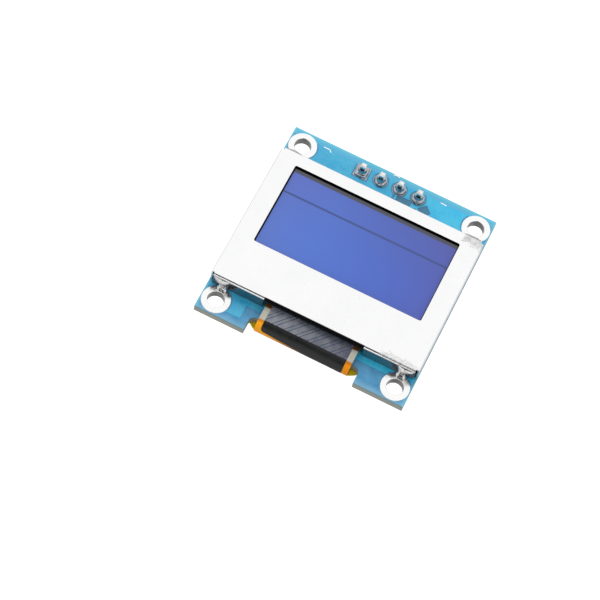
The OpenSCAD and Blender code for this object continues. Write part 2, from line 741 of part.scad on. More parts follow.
/* Parts on the back, each drawn standing on the board's face */
module chip_part(h, end_grow) {
    body_l = chip_part_l - 2 * end_cap_l;
    translate([0, 0, part_z + h / 2]) {
        cube([body_l + EPS, chip_part_w - 2 * end_grow, h - 2 * end_grow], center = true);
        for (s = [-1, 1]) translate([s * (body_l + end_cap_l) / 2, 0, 0])
            cube([end_cap_l, chip_part_w, h], center = true);
    }
}

module capacitor(i) {
    color("tan") on_back(CAPACITORS[i - 1]) chip_part(capacitor_h, 0.02);
}

module resistor(i) {
    color("#303030") on_back(RESISTORS[i - 1]) chip_part(resistor_h, 0.015);
}

// Pad with its solder: under the part's end and up its end face in a slope
module end_solder(l, w, h, under) {
    for (s = [0, 180]) rotate(s) translate([0, w / 2, 0]) rotate([90, 0, 0]) linear_extrude(w) polygon([
        [l / 2 - under, 0], [l / 2 + pad_reach, 0], [l / 2 + pad_reach, part_z / 2],
        [l / 2 + pad_reach / 3, part_z + 0.25 * h], [l / 2, part_z + 0.6 * h], [l / 2, part_z],
        [l / 2 - under, part_z]]);
}

// Section of a moulded body, widest at the parting line halfway up
module drafted_2d(w, h) {
    polygon([[mould_draft - w / 2, 0], [w / 2 - mould_draft, 0], [w / 2, h / 2], [w / 2 - mould_draft, h],
        [mould_draft - w / 2, h], [-w / 2, h / 2]]);
}

module regulator_body() {
    h = regulator_h - body_lift;
    color("#202020") on_back(REGULATOR) translate([0, 0, part_z + body_lift]) intersection() {
        translate([0, regulator_w, 0]) rotate([90, 0, 0])
            linear_extrude(2 * regulator_w) drafted_2d(regulator_l, h);
        along_x(2 * regulator_l) drafted_2d(regulator_w, h);
    }
}

// The regulator's leads: [X, side]. Each leaves the body halfway up and ends in a foot on its pad.
LEADS = [[-lead_pitch, -1], [lead_pitch, -1], [0, 1]];

module regulator_leads() {
    mid = part_z + (regulator_h + body_lift) / 2;
    half = lead_t / 2;
    out = lead_out / 4;
    color("silver") on_back(REGULATOR) for (p = LEADS) translate([p[0], 0, 0])
        mirror([0, p[1] < 0 ? 1 : 0, 0]) translate([0, regulator_w / 2, 0]) along_x(lead_w)
            polygon([[0, mid - half], [out, mid - half], [out + half, part_z], [lead_out, part_z],
                [lead_out, part_z + lead_t], [out + 3 * half, part_z + lead_t], [out + lead_t, mid + half],
                [0, mid + half]]);
}

module reset_diode() {
    tab_w = 0.4 * diode_w;
    tab_t = lead_t;
    color("#303030") on_back(DIODE) translate([0, 0, part_z]) {
        translate([-diode_l / 2, -diode_w / 2, 0]) cube([diode_l, diode_w, diode_h]);
        translate([-diode_l / 2 - tab_l, -tab_w / 2, 0]) cube([diode_l + 2 * tab_l, tab_w, tab_t]);
    }
}

module chip_solder() {
    color("silver") {
        for (p = CAPACITORS) on_back(p) end_solder(chip_part_l, chip_part_w, capacitor_h, end_cap_l);
        for (p = RESISTORS) on_back(p) end_solder(chip_part_l, chip_part_w, resistor_h, end_cap_l);
        on_back(DIODE) end_solder(diode_l + 2 * tab_l, 0.4 * diode_w, lead_t, tab_l);
        on_back(REGULATOR) for (p = LEADS) translate([p[0], 0, 0]) mirror([0, p[1] < 0 ? 1 : 0, 0])
            translate([-0.75 * lead_w, regulator_w / 2 + lead_out / 2, 0])
                cube([1.5 * lead_w, lead_out / 2 + pad_reach / 2, part_z]);
    }
}

circuit_board();
front_copper();
back_copper();
for (i = [1 : 4]) mounting_ring(HOLE_PLACES[i - 1]);
header_housing();
for (i = [1 : pin_count]) header_pin(i);
for (i = [1 : pin_count]) header_solder(i);
foam_tape();
cap_glass();
emitting_layer();
front_glass();
polarizer();
driver_chip();
shield_frame();
shield_solder(-1, 1, foot_reach_top);
shield_solder(1, 1, foot_reach_top);
shield_solder(-1, -1, foot_reach_bottom);
shield_solder(1, -1, foot_reach_bottom);
flex_tail();
flex_ink();
flex_traces();
flex_solder();
for (i = [1 : 7]) capacitor(i);
for (i = [1 : 7]) resistor(i);
regulator_body();
regulator_leads();
reset_diode();
chip_solder();
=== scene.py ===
"""Small OLED display module: finishes, solder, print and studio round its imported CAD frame.

The frame's own axes throughout: +Z is the way the display faces, +Y points to the header.
Lengths are written in millimetres here and turned into metres when a mesh or a place is made.
"""

import math
from random import Random

import bpy
from mathutils import Matrix, Vector, noise


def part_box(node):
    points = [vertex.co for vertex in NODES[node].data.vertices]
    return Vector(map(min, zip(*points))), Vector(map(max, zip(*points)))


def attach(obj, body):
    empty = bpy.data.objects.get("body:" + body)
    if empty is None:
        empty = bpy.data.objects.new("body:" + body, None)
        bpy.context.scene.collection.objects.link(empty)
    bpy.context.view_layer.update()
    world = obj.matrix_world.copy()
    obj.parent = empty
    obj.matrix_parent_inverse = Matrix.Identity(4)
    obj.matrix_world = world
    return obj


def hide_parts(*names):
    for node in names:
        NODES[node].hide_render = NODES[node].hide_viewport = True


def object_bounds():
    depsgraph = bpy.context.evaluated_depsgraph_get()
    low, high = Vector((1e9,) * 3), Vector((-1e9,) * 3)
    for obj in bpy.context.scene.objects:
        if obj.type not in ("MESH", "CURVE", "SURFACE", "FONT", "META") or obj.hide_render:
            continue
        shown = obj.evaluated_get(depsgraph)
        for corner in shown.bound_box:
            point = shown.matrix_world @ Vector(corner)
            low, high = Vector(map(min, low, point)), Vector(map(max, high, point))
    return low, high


MM = 0.001
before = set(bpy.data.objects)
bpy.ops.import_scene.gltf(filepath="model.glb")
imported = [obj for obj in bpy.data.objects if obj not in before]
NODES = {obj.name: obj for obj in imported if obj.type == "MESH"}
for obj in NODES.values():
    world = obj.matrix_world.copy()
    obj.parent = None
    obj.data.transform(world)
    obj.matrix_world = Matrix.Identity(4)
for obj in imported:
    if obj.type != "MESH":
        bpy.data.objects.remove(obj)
CAD_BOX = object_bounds()


def box(node):
    """A node's lowest and highest corner in millimetres."""
    low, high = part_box(node)
    return Vector(low) / MM, Vector(high) / MM


BOARD = box("circuit_board")
COPPER = box("front_copper")
SHIELD = box("shield_frame")
LIT = box("emitting_layer")
FAN = box("flex_traces")
RINGS = [box(f"mounting_ring_{i}") for i in range(1, 5)]
PINS = [box(f"header_pin_{i}") for i in range(1, 5)]
PADS = [box(f"header_solder_{i}") for i in range(1, 5)]
CORNER_SOLDER = [box(f"shield_solder_{i}") for i in range(1, 5)]

# The shield's window, as half its width and its lower and upper edge, and its opening for the flex
WINDOW_X = 11.03
WINDOW_Y = (-3.79, 7.85)
FLEX_OPENING = 13.04
# Widths of the painted shadow on the film along the window's left, right and top edges
WINDOW_SHADE_LEFT, WINDOW_SHADE_RIGHT, WINDOW_SHADE_TOP = 0.16, 0.1, 0.2
# Place along Y of the unlit line on the display
BAND_LINE = 4.25
# Inner corner of the dull flux on the shield by the header, and of that by the flex
HEADER_FLUX = (11.2, 8.5)
FLEX_FLUX = (8.6, -9.35)
# Solder in the header: radius of the plated hole, top radius of the mound, height of its shoulder
PIN_HOLE_R = 0.5
CONE_TOP_R = 0.5
SHOULDER_H = 0.44
# The mound's foot as a share of the pad's radius, and its neck as a share of the way from top to foot
FOOT_SHARE = 0.95
NECK_SHARE = 0.3
# Solder at the shield's corners: widths, reaches from the wall, places in the height, and its lean
FOOT_W, WAIST_W, BULB_W = 1.3, 1.0, 2.1
WAIST_REACH, BULB_REACH = 0.34, 0.42
WAIST_AT, BULB_AT = 0.38, 0.7
SOLDER_LEAN = 0.3


def centre(node_box):
    return (node_box[0] + node_box[1]) / 2


def srgb(red, green, blue):
    """Linear colour, with alpha, of an 8-bit sRGB one."""
    def linear(value):
        value /= 255
        return value / 12.92 if value <= 0.04045 else ((value + 0.055) / 1.055) ** 2.4
    return (linear(red), linear(green), linear(blue), 1.0)


def glossy(red, green, blue, sheen=0.042):
    """Base colour of a glossy surface that should look like this 8-bit one with its sheen on top."""
    return tuple(max(value - sheen, 0.002) for value in srgb(red, green, blue)[:3]) + (1.0,)


# ---------------------------------------------------------------- materials


class Finish:
    """A Principled material, with short calls for the procedural nodes that feed it."""

    def __init__(self, name, color=(0.8, 0.8, 0.8, 1), roughness=0.5, metallic=0.0, specular=0.5):
        self.material = bpy.data.materials.new(name)
        self.material.use_nodes = True
        self.tree = self.material.node_tree
        self.shader = self.tree.nodes["Principled BSDF"]
        self.set("Base Color", color)
        self.set("Roughness", roughness)
        self.set("Metallic", metallic)
        self.set("Specular IOR Level", specular)
        coordinates = self.node("ShaderNodeTexCoord").outputs["Object"]
        scaled = self.node("ShaderNodeVectorMath", operation="SCALE")
        self.tree.links.new(coordinates, scaled.inputs[0])
        scaled.inputs["Scale"].default_value = 1 / MM
        self.place = scaled.outputs[0]
        self.axes = None
        self.facing = None

    def node(self, kind, **settings):
        made = self.tree.nodes.new(kind)
        for key, value in settings.items():
            setattr(made, key, value)
        return made

    def put(self, socket, value):
        """Links a socket or sets a value."""
        if isinstance(value, bpy.types.NodeSocket):
            self.tree.links.new(value, socket)
        else:
            socket.default_value = value

    def set(self, name, value):
        self.put(self.shader.inputs[name], value)
        return self

    def axis(self, name):
        """A coordinate in millimetres."""
        if self.axes is None:
            self.axes = self.node("ShaderNodeSeparateXYZ")
            self.put(self.axes.inputs[0], self.place)
        return self.axes.outputs[name]

    def distance(self, place):
        """Distance in the board's plane from a place, in millimetres."""
        x = self.math("SUBTRACT", self.axis("X"), place.x)
        y = self.math("SUBTRACT", self.axis("Y"), place.y)
        return self.math("SQRT", self.math("MULTIPLY_ADD", y, y, self.math("MULTIPLY", x, x)))

    def normal(self, name):
        """A component of the surface's normal."""
        if self.facing is None:
            self.facing = self.node("ShaderNodeSeparateXYZ")
            self.put(self.facing.inputs[0], self.node("ShaderNodeNewGeometry").outputs["Normal"])
        return self.facing.outputs[name]

    def math(self, operation, first, second=0.0, third=0.0):
        made = self.node("ShaderNodeMath", operation=operation)
        for socket, value in zip(made.inputs, (first, second, third)):
            self.put(socket, value)
        return made.outputs[0]

    def above(self, value, edge, soft=0.01):
        """0 below an edge and 1 above it, with a soft step between."""
        made = self.node("ShaderNodeMapRange", interpolation_type="SMOOTHSTEP")
        self.put(made.inputs["Value"], value)
        made.inputs["From Min"].default_value = edge - soft
        made.inputs["From Max"].default_value = edge + soft
        return made.outputs["Result"]

    def below(self, value, edge, soft=0.01):
        """1 below an edge and 0 above it."""
        return self.math("SUBTRACT", 1.0, self.above(value, edge, soft))

    def both(self, first, second):
        """One mask within another, or a mask made weaker by a factor."""
        return self.math("MULTIPLY", first, second)

    def either(self, first, second):
        """Where one mask or the other lies."""
        return self.math("MAXIMUM", first, second)

    def size(self, value):
        """A value without its sign."""
        return self.math("ABSOLUTE", value)

    def between(self, value, low, high, soft=0.01):
        """1 between two edges and 0 outside them."""
        inside = self.math("SUBTRACT", self.above(value, low, soft), self.above(value, high, soft))
        return self.math("MAXIMUM", inside, 0.0)

    def noise(self, scale, detail=3.0, roughness=0.5, stretch=(1, 1, 1), distortion=0.0):
        """Soft noise with this many features to the millimetre."""
        mapping = self.node("ShaderNodeMapping")
        self.put(mapping.inputs["Vector"], self.place)
        mapping.inputs["Scale"].default_value = stretch
        made = self.node("ShaderNodeTexNoise")
        self.put(made.inputs["Vector"], mapping.outputs[0])
        made.inputs["Scale"].default_value = scale
        made.inputs["Detail"].default_value = detail
        made.inputs["Roughness"].default_value = roughness
        made.inputs["Distortion"].default_value = distortion
        return made.outputs["Fac"]

    def specks(self, scale, size):
        """1 in small separate spots, 0 elsewhere."""
        made = self.node("ShaderNodeTexVoronoi", feature="F1")
        self.put(made.inputs["Vector"], self.place)
        made.inputs["Scale"].default_value = scale
        return self.below(made.outputs["Distance"], size, size * 0.4)

    def ramp(self, value, *stops):
        """Colour along a 0 to 1 value, through pairs of a position and a colour."""
        made = self.node("ShaderNodeValToRGB")
        elements = made.color_ramp.elements
        while len(elements) < len(stops):
            elements.new(0.5)
        for element, (position, color) in zip(elements, stops):
            element.position = position
            element.color = color
        self.put(made.inputs["Fac"], value)
        return made.outputs["Color"]

    def mix(self, amount, first, second):
        """The first colour where the amount is 0 and the second where it is 1."""
        made = self.node("ShaderNodeMix", data_type="RGBA")
        self.put(made.inputs["Factor"], amount)
        self.put(made.inputs[6], first)
        self.put(made.inputs[7], second)
        return made.outputs[2]

    def spread(self, value, low, high, to_low=0.0, to_high=1.0):
        """A value's range turned into another, clamped."""
        made = self.node("ShaderNodeMapRange")
        self.put(made.inputs["Value"], value)
        for name, number in (("From Min", low), ("From Max", high), ("To Min", to_low), ("To Max", to_high)):
            made.inputs[name].default_value = number
        return made.outputs["Result"]

    def bump(self, height, depth):
        """Relief from a 0 to 1 height, this many millimetres deep."""
        made = self.node("ShaderNodeBump")
        self.put(made.inputs["Height"], height)
        made.inputs["Distance"].default_value = depth * MM
        return self.set("Normal", made.outputs["Normal"])

    def wear(self, scale, low, high):
        """Roughness that varies between two values."""
        return self.set("Roughness", self.spread(self.noise(scale), 0.3, 0.7, low, high))


def mask_blue():
    """Blue solder mask on bare laminate, with the laminate's own cut edge."""
    finish = Finish("solder_mask", roughness=0.28, specular=0.5)
    x, y, z = (finish.axis(name) for name in "XYZ")
    mottle = finish.spread(finish.noise(0.9, 4), 0.3, 0.7)
    face = finish.mix(mottle, glossy(78, 138, 176), glossy(98, 156, 196))
    by_the_pins = finish.both(finish.between(y, 9.0, 12.3, 0.3), finish.between(x, 1.0, 6.0, 0.4))
    face = finish.mix(by_the_pins, face, glossy(84, 128, 158))
    # Painted light: the strip past the copper's top edge is lighter, for light shining through the board from
    # behind
    face = finish.mix(finish.above(y, COPPER[1].y - 0.05, 0.05), face, glossy(98, 176, 208))
    # Lighter towards the board's edges: painted light, for light shining through the thin edge from behind
    rim = finish.either(finish.above(y, BOARD[1].y - 0.3, 0.25),
                        finish.above(finish.size(x), BOARD[1].x - 0.3, 0.25))
    face = finish.mix(finish.both(rim, 0.6), face, glossy(118, 198, 216))
    low_rim = finish.below(y, BOARD[0].y + 0.5, 0.45)
    face = finish.mix(finish.both(low_rim, 0.5), face, glossy(140, 184, 206))
    # The cut edge: laminate below, mask on top
    depth = finish.spread(z, BOARD[0].z, 0.0)
    cut = finish.ramp(depth, (0.0, srgb(140, 140, 130)), (0.3, srgb(150, 154, 146)),
                      (0.75, srgb(132, 148, 148)), (0.93, srgb(92, 140, 156)), (1.0, srgb(90, 160, 186)))
    glass_cloth = finish.noise(5, 3, stretch=(1, 1, 6))
    cut = finish.mix(finish.spread(glass_cloth, 0.35, 0.65, 0, 0.35), cut, srgb(176, 170, 150))
    flat = finish.above(finish.size(finish.normal("Z")), 0.5, 0.1)
    finish.set("Base Color", finish.mix(flat, cut, face))
    finish.set("Roughness", finish.spread(flat, 0, 1, 0.75, 0.3))
    return finish.bump(finish.noise(2.2, 5), 0.012).material


def mask_on_copper():
    """The same mask over copper: darker and less cyan to the left with painted shade, and a dark line round
    each ring.
    """
    finish = Finish("masked_copper", roughness=0.24, specular=0.5)
    tone = finish.spread(finish.noise(0.5, 4, 0.55), 0.3, 0.7)
    # Painted shade: the left side is darker and less cyan, for a shadow falling across that end
    left = finish.mix(tone, glossy(66, 158, 200), glossy(92, 172, 206))
    right = finish.mix(tone, glossy(66, 176, 222), glossy(84, 190, 222))
    color = finish.mix(finish.spread(finish.axis("X"), -9, 9), left, right)
    fine = finish.noise(7, 3)
    color = finish.mix(finish.spread(fine, 0.35, 0.65, 0, 0.2), color, glossy(110, 200, 224))
    for ring in RINGS:
        line_r = (ring[1].x - ring[0].x) / 2 + 0.07
        past_line = finish.above(finish.distance(centre(ring)), line_r, 0.03)
        color = finish.mix(past_line, glossy(58, 84, 140), color)
    finish.set("Base Color", color)
    finish.wear(1.8, 0.2, 0.34)
    return finish.bump(finish.noise(3.0, 5), 0.014).material


def plating():
    """Bright tinned ring, with painted shade making the inside of the hole dark."""
    finish = Finish("tinned_plating", metallic=1.0)
    # Painted shade: the inside of the hole gets a dark colour, for the shade in it
    shaded_barrel = finish.below(finish.size(finish.normal("Z")), 0.4, 0.15)
    bands = finish.spread(finish.noise(1.4, 3, stretch=(1, 1, 2.5)), 0.35, 0.65)
    dark = finish.mix(bands, (0.1, 0.1, 0.1, 1), (0.26, 0.26, 0.26, 1))
    spots = finish.spread(finish.noise(2.2, 5, 0.6), 0.55, 0.75, 0, 0.6)
    bright = finish.mix(spots, (0.97, 0.97, 0.965, 1), (0.86, 0.86, 0.86, 1))
    finish.set("Base Color", finish.mix(shaded_barrel, bright, dark))
    finish.set("Roughness", finish.spread(finish.noise(1.6), 0.3, 0.7, 0.14, 0.26))
    return finish.bump(finish.noise(0.8, 4, 0.5), 0.03).material


def tin(name, color=(0.94, 0.94, 0.93, 1), rough=(0.16, 0.3), lumps=1.4, depth=0.03, grey=0.75):
    """Tinned metal or solder: bright, with soft lumps and a few dull spots."""
    finish = Finish(name, color, metallic=1.0)
    dull = tuple(value * grey for value in color[:3]) + (1.0,)
    spots = finish.spread(finish.noise(lumps * 2.6, 5, 0.6), 0.52, 0.72)
    finish.set("Base Color", finish.mix(spots, color, dull))
    finish.wear(lumps * 2, *rough)
    return finish.bump(finish.noise(lumps, 4, 0.5), depth).material


def tin_sheet():
    """Folded tin sheet: satin, with faint rolling marks, flux at two corners, and painted shade on the front
    wall, the window's cut edges and the lip over the flex.
    """
    finish = Finish("tin_sheet", metallic=1.0)
    x, y = finish.axis("X"), finish.axis("Y")
    cloud = finish.spread(finish.noise(0.3, 3), 0.3, 0.7)
    color = finish.mix(cloud, (0.97, 0.97, 0.97, 1), (0.94, 0.943, 0.945, 1))
    color = finish.mix(finish.both(finish.specks(0.8, 0.05), 0.35), color, (0.5, 0.5, 0.5, 1))
    # Dull flux where the corner solder ran over the fold: one corner by the header, one by the flex
    ragged = finish.spread(finish.noise(1.3, 4), 0.3, 0.7, -0.45, 0.45)
    ragged_x = finish.math("ADD", x, ragged)
    ragged_y = finish.math("ADD", y, ragged)
    header_corner = finish.both(finish.above(ragged_x, HEADER_FLUX[0], 0.2),
                                finish.above(ragged_y, HEADER_FLUX[1], 0.25))
    flex_corner = finish.both(finish.above(ragged_x, FLEX_FLUX[0], 0.5),
                              finish.below(ragged_y, FLEX_FLUX[1], 0.12))
    flux = finish.either(header_corner, finish.both(flex_corner, 0.7))
    ripples = finish.noise(2.0, 5, 0.6, distortion=1.2)
    dull = finish.mix(finish.spread(ripples, 0.4, 0.62), (0.62, 0.62, 0.62, 1), (0.9, 0.9, 0.9, 1))
    color = finish.mix(flux, color, dull)
    # Painted shade: the front wall is darkened, for the shaded board it mirrors
    by_the_front = finish.below(y, SHIELD[0].y + 0.06, 0.03)
    front_wall_shade = finish.both(finish.below(finish.normal("Z"), 0.35, 0.1), by_the_front)
    color = finish.mix(front_wall_shade, color, (0.34, 0.33, 0.33, 1))
    # Painted shade: black on the window's cut edges and on the lip over the flex, where the gap beneath lies
    # in shadow
    in_window = finish.both(finish.between(x, -WINDOW_X - 0.02, WINDOW_X + 0.02),
                            finish.between(y, WINDOW_Y[0] - 0.02, WINDOW_Y[1] + 0.02))
    window_edge_shade = finish.both(finish.below(finish.normal("Z"), 0.5, 0.1), in_window)
    flex_lip_shade = finish.both(finish.below(finish.size(x), FLEX_OPENING / 2, 0.04),
                            finish.below(y, SHIELD[0].y + 0.3, 0.05))
    dark = finish.either(window_edge_shade, flex_lip_shade)
    finish.set("Base Color", finish.mix(dark, color, srgb(24, 24, 26)))
    satin = finish.spread(finish.noise(2.4, 4, stretch=(0.25, 3, 1)), 0.3, 0.7, 0.18, 0.27)
    satin = finish.math("MULTIPLY_ADD", flux, 0.12, satin)
    finish.set("Roughness", finish.math("MULTIPLY_ADD", dark, 0.4, satin))
    scratches = finish.noise(5, 2, stretch=(0.12, 4, 1))
    height = finish.math("MULTIPLY_ADD", scratches, 0.05, finish.noise(0.25, 2))
    height = finish.math("MULTIPLY_ADD", finish.both(flux, ripples), 1.6, height)
    return finish.bump(height, 0.05).material


def display_film():
    """Polariser over the dark panel: a blue-violet sheen, an unlit line, the grey margin above it and painted
    shadow along three edges of the window.
    """
    finish = Finish("polarizer_film", roughness=0.12, specular=0.5)
    x, y = finish.axis("X"), finish.axis("Y")
    low, high = LIT
    across = finish.spread(x, low.x, high.x)
    lower = finish.ramp(across, (0.0, glossy(97, 121, 194)), (0.28, glossy(91, 119, 199)),
                        (0.5, glossy(89, 115, 195)), (0.78, glossy(88, 108, 187)),
                        (1.0, glossy(92, 103, 178)))
    upper = finish.ramp(across, (0.0, glossy(100, 114, 188)), (0.3, glossy(94, 115, 188)),
                        (0.55, glossy(92, 109, 181)), (0.8, glossy(93, 104, 173)),
                        (1.0, glossy(95, 101, 168)))
    color = finish.mix(finish.spread(y, 0.0, high.y), lower, upper)
    bottom = finish.below(y, WINDOW_Y[0] + 0.25, 0.3)
    color = finish.mix(finish.both(bottom, 0.8), color, glossy(112, 122, 182))
    # The line tilts a little, as the panel lies under the window
    tilted = finish.math("MULTIPLY_ADD", x, -0.005, y)
    unlit = finish.between(tilted, BAND_LINE - 0.15, BAND_LINE + 0.15, 0.07)
    color = finish.mix(finish.both(unlit, 0.85), color, glossy(78, 90, 132))
    grid = finish.noise(9, 1, stretch=(1, 1, 0))
    color = finish.mix(finish.spread(grid, 0.3, 0.7, 0, 0.05), color, glossy(80, 100, 176))
    color = finish.mix(finish.above(y, high.y - 0.1, 0.05), color, glossy(89, 90, 97))
    # Painted shadow: black along three sides of the window, for the shade under its edges and the dark gap
    # mirrored in the film, together with the panel's own dark border
    sides = finish.either(finish.below(x, WINDOW_SHADE_LEFT - WINDOW_X, 0.04),
                          finish.above(x, WINDOW_X - WINDOW_SHADE_RIGHT, 0.04))
    window_shadow = finish.either(finish.above(y, WINDOW_Y[1] - WINDOW_SHADE_TOP, 0.03), sides)
    finish.set("Base Color", finish.mix(window_shadow, color, srgb(8, 8, 9)))
    finish.set("Specular IOR Level", finish.spread(window_shadow, 0, 1, 0.5, 0.05))
    return finish.bump(finish.noise(0.16, 2), 0.02).material


def plastic(name, color, light, rough=(0.4, 0.55), scale=6.0, depth=0.01):
    """Moulded plastic or epoxy, with a faint mottle."""
    finish = Finish(name)
    finish.set("Base Color", finish.mix(finish.spread(finish.noise(scale, 4), 0.35, 0.7), color, light))
    finish.wear(scale * 0.5, *rough)
    return finish.bump(finish.noise(scale, 4), depth).material


def glass():
    """Edge and face of the panel's glass, dark because nothing lies lit behind it."""
    finish = Finish("panel_glass", roughness=0.06, specular=0.5)
    flat = finish.above(finish.size(finish.normal("Z")), 0.5, 0.1)
    edge_tint = finish.mix(finish.noise(1.2, 3), srgb(18, 22, 24), srgb(30, 38, 40))
    finish.set("Base Color", finish.mix(flat, edge_tint, srgb(14, 16, 20)))
    finish.set("Roughness", finish.spread(flat, 0, 1, 0.35, 0.06))
    return finish.bump(finish.noise(2, 3), 0.01).material


def flex_film():
    """Amber film: cream where it is bonded, dark between the traces, painted shade under the shield's front
    and a painted backlit yellow towards the free edges.
    """
    finish = Finish("flex_film", roughness=0.3, specular=0.2)
    x, y, z = (finish.axis(name) for name in "XYZ")
    off_middle = finish.size(x)
    amber = finish.mix(finish.noise(0.8, 4), srgb(240, 146, 10), srgb(252, 176, 22))
    under_ink = finish.both(finish.spread(x, -4.6, 0.5), finish.above(z, -1.0, 0.1))
    amber = finish.mix(under_ink, amber, glossy(86, 58, 44))
    amber = finish.mix(finish.above(x, 5.3, 0.1), amber, glossy(236, 150, 30))
    # Painted light: bright yellow past the neck's edges, for light shining through the film from behind
    amber = finish.mix(finish.above(off_middle, 6.12, 0.06), amber, srgb(255, 226, 40))
    # Painted shade: darker amber on the flat part near the panel, in the shadow of the shield's front
    shaded_top_edge = finish.both(finish.above(y, -12.4, 0.2), finish.above(z, 0.85, 0.08))
    amber = finish.mix(finish.both(shaded_top_edge, 0.6), amber, glossy(150, 88, 20))
    bonded = finish.both(finish.above(y, FAN[0].y - 0.05, 0.12), finish.above(z, 0.6, 0.1))
    cream = finish.mix(finish.noise(1.5, 3), glossy(150, 152, 140), glossy(206, 202, 190))
    # Painted shade: dark brown along the bonded end by the glass, under the shield's lip
    cream = finish.mix(finish.above(y, FAN[1].y - 0.45, 0.1), cream, glossy(104, 76, 30))
    cream = finish.mix(finish.below(off_middle, FAN[1].x, 0.03), cream, glossy(82, 92, 116))
    finish.set("Base Color", finish.mix(bonded, amber, cream))
    finish.wear(2.0, 0.22, 0.4)
    return finish.bump(finish.noise(1.2, 3), 0.03).material


def flex_traces():
    """Dull silver traces under a cover film, each a little different."""
    finish = Finish("flex_traces", roughness=0.34, metallic=0.2, specular=0.5)
    streak = finish.spread(finish.noise(1.3, 4, stretch=(1, 0.8, 1)), 0.3, 0.7)
    left = finish.mix(streak, glossy(118, 122, 130), glossy(140, 143, 150))
    right = finish.mix(streak, glossy(94, 96, 108), glossy(118, 119, 128))
    finish.set("Base Color", finish.mix(finish.spread(finish.axis("X"), -3, 4), left, right))
    return finish.bump(finish.noise(2.5, 4), 0.02).material


def ink():
    """Black cover ink, satin, with a painted grey highlight band along the bend."""
    finish = Finish("flex_ink", roughness=0.42, specular=0.35)
    streak = finish.noise(1.4, 5, 0.6, stretch=(0.22, 1, 1))
    # Painted highlight: a lighter grey band along the bend
    bend_highlight = finish.both(finish.between(finish.axis("Z"), -0.1, 0.75, 0.3), 0.5)
    color = finish.mix(finish.spread(streak, 0.42, 0.75), srgb(12, 13, 12), srgb(30, 31, 31))
    finish.set("Base Color", finish.mix(bend_highlight, color, srgb(46, 48, 47)))
    finish.wear(1.6, 0.34, 0.55)
    return finish.bump(finish.noise(2.0, 4, stretch=(0.4, 1, 1)), 0.03).material


def print_white():
    """White print on the board."""
    finish = Finish("silkscreen", roughness=0.55)
    finish.set("Base Color", finish.mix(finish.noise(6, 3), srgb(236, 238, 238), srgb(250, 250, 248)))
    return finish.bump(finish.noise(12, 2), 0.006).material


FINISHES = {
    "board": mask_blue(),
    "copper": mask_on_copper(),
    "ring": plating(),
    "pin": tin("plated_pins", (0.9, 0.9, 0.88, 1), (0.16, 0.28), lumps=1.5, depth=0.012, grey=0.85),
    "solder": tin("solder", (0.84, 0.84, 0.84, 1), (0.1, 0.26), lumps=1.6, depth=0.05),
    # Painted reflection: the header joints and corner blobs are darker copies of the solder, the blobs a
    # touch warm, for the dark and warm surroundings they mirror
    "joint": tin("joint_solder", (0.5, 0.5, 0.52, 1), (0.08, 0.22), lumps=2.2, depth=0.06, grey=0.5),
    "blob": tin("corner_solder", (0.74, 0.73, 0.72, 1), (0.1, 0.24), lumps=1.6, depth=0.06, grey=0.6),
    "sheet": tin_sheet(),
    "film": display_film(),
    "glass": glass(),
    "foam": plastic("foam", srgb(30, 30, 31), srgb(52, 52, 54), (0.85, 0.95), 9.0, 0.05),
    "emitter": plastic("emitter", srgb(40, 48, 96), srgb(58, 66, 120), (0.3, 0.4)),
    "silicon": plastic("silicon", srgb(70, 74, 82), srgb(96, 100, 110), (0.15, 0.25)),
    "housing": plastic("black_plastic", srgb(20, 20, 21), srgb(36, 36, 37)),
    "epoxy": plastic("black_epoxy", srgb(26, 26, 27), srgb(44, 44, 45), (0.45, 0.65), 8.0),
    "ceramic": plastic("chip_ceramic", srgb(150, 122, 88), srgb(176, 148, 110), (0.4, 0.6), 7.0),
    "resistor": plastic("chip_resistor", srgb(28, 28, 30), srgb(46, 46, 50), (0.35, 0.5), 7.0),
    "lead": tin("lead_metal", (0.86, 0.86, 0.85, 1), (0.22, 0.34), lumps=2.0, depth=0.02),
    "flex": flex_film(),
    "traces": flex_traces(),
    "ink": ink(),
    "print": print_white(),
}

NODE_FINISH = {
    "circuit_board": "board", "front_copper": "copper", "back_copper": "copper", "mounting_ring": "ring",
    "header_housing": "housing", "header_pin": "pin", "header_solder": "solder", "foam_tape": "foam",
    "cap_glass": "glass", "emitting_layer": "emitter", "front_glass": "glass", "polarizer": "film",
    "driver_chip": "silicon", "shield_frame": "sheet", "shield_solder": "solder", "flex_tail": "flex",
    "flex_ink": "ink", "flex_traces": "traces", "flex_solder": "solder", "capacitor": "ceramic",
    "resistor": "resistor", "regulator_body": "epoxy", "regulator_leads": "lead", "reset_diode": "epoxy",
    "chip_solder": "solder",
}


def dress_nodes():
    """Gives every CAD node its finish. Names with a number at the end share one."""
    for name, node in NODES.items():
        kind = name.rstrip("0123456789").rstrip("_")
        node.data.materials.clear()
        node.data.materials.append(FINISHES[NODE_FINISH[kind]])


# ---------------------------------------------------------------- meshes


def add_piece(name, points, faces, finish, slot, replaces=None, smooth=True):
    """A piece of the object from millimetre points, riding on the one body."""
    mesh = bpy.data.meshes.new(name)
    mesh.from_pydata([Vector(point) * MM for point in points], [], faces)
    mesh.validate()
    mesh.update()
    if smooth:
        mesh.shade_smooth()
        mesh.set_sharp_from_angle(angle=math.radians(50))
    mesh.materials.append(FINISHES[finish])
    piece = bpy.data.objects.new(name, mesh)
    bpy.context.scene.collection.objects.link(piece)
    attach(piece, "root")
    if replaces:
        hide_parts(replaces)
    return piece


def loft(rings):
    """Points and faces of a closed body through rings that have as many points each."""
    count = len(rings[0])
    points = [point for ring in rings for point in ring]
    faces = []
    for level in range(len(rings) - 1):
        for k in range(count):
            a, b = level * count + k, level * count + (k + 1) % count
            faces.append((a, b, b + count, a + count))
    faces.append(tuple(reversed(range(count))))
    faces.append(tuple(range((len(rings) - 1) * count, len(rings) * count)))
    return points, faces


